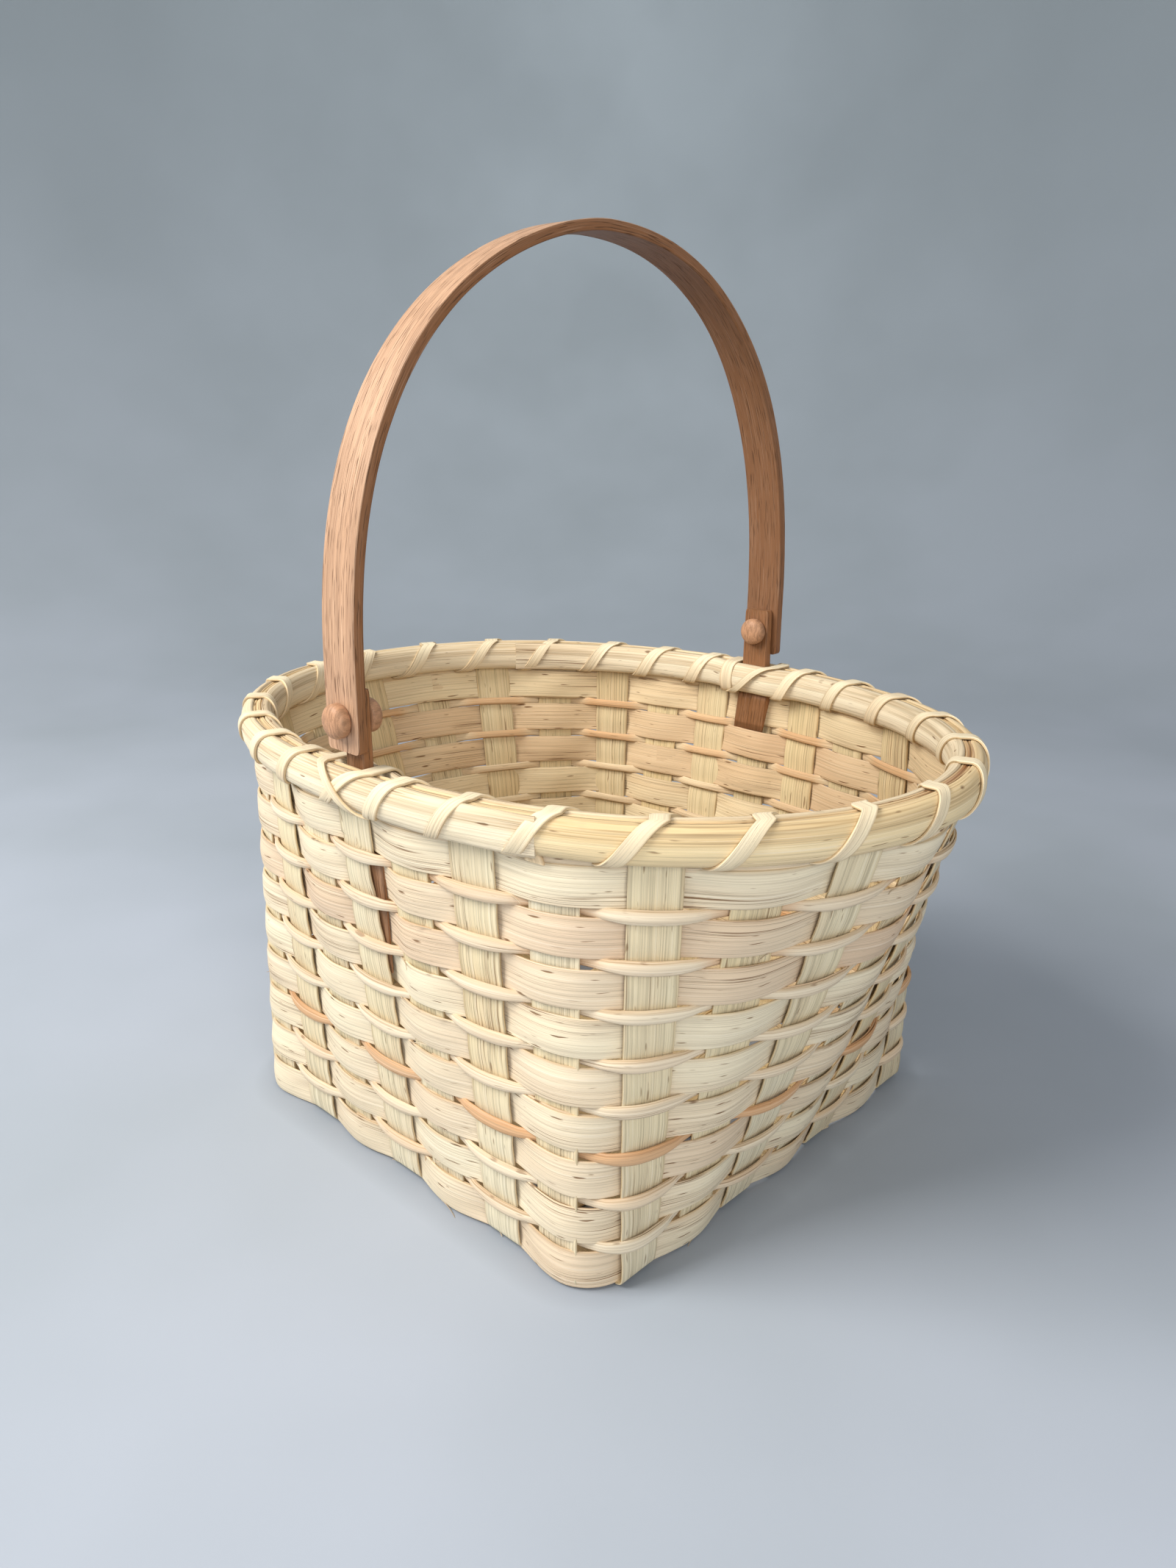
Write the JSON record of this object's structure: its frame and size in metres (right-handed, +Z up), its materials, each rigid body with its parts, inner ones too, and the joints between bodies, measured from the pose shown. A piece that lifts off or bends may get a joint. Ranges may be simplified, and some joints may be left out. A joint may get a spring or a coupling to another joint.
{
  "type": "splint basket with swing handle",
  "caption": "Old farm basket woven from flat wood splints, with a square base, a lashed oval rim and a bent-wood swing handle pegged to its ears.",
  "frame": {"origin": "middle of the underside of the base, on the surface that the basket stands on", "axes": "+Z up; X along the line through the two pegs that the handle swings on; Y along the rim's longer way"},
  "size_m": [0.28, 0.355, 0.3866],
  "materials": {
    "stake_splint": "matte",
    "wide_splint": "matte",
    "narrow_reed": "matte",
    "amber_reed": "matte",
    "rim_splint": "satin",
    "rim_filler": "matte",
    "lashing_cane": "satin",
    "ear_wood": "satin",
    "peg_wood": "satin",
    "handle_wood": "satin"
  },
  "bodies": {
    "basket": {"inner_rim": "rim_splint", "lashing": "lashing_cane", "left_ear": "ear_wood", "left_peg": "peg_wood", "left_peg_cap": "peg_wood", "narrow_row_1": "narrow_reed", "narrow_row_2": "narrow_reed", "narrow_row_3": "amber_reed", "narrow_row_4": "narrow_reed", "narrow_row_5": "narrow_reed", "narrow_row_6": "narrow_reed", "narrow_row_7": "amber_reed", "narrow_row_8": "amber_reed", "outer_rim": "rim_splint", "right_ear": "ear_wood", "right_peg": "peg_wood", "right_peg_cap": "peg_wood", "rim_filler": "rim_filler", "rim_row": "narrow_reed", "stake_x_1": "stake_splint", "stake_x_2": "stake_splint", "stake_x_3": "stake_splint", "stake_x_4": "stake_splint", "stake_x_5": "stake_splint", "stake_x_6": "stake_splint", "stake_x_7": "stake_splint", "stake_y_1": "stake_splint", "stake_y_2": "stake_splint", "stake_y_3": "stake_splint", "stake_y_4": "stake_splint", "stake_y_5": "stake_splint", "stake_y_6": "stake_splint", "stake_y_7": "stake_splint", "wide_row_1": "wide_splint", "wide_row_2": "wide_splint", "wide_row_3": "wide_splint", "wide_row_4": "wide_splint", "wide_row_5": "wide_splint", "wide_row_6": "wide_splint", "wide_row_7": "wide_splint", "wide_row_8": "wide_splint", "wide_row_9": "wide_splint"},
    "handle": {"handle": "handle_wood"}
  },
  "joints": [
    {"name": "handle_swing", "type": "hinge", "parent": "basket", "child": "handle", "pos_m": [0, 0, 0.2056], "axis": [1, 0, 0], "range_deg": [-93, 93]}
  ]
}
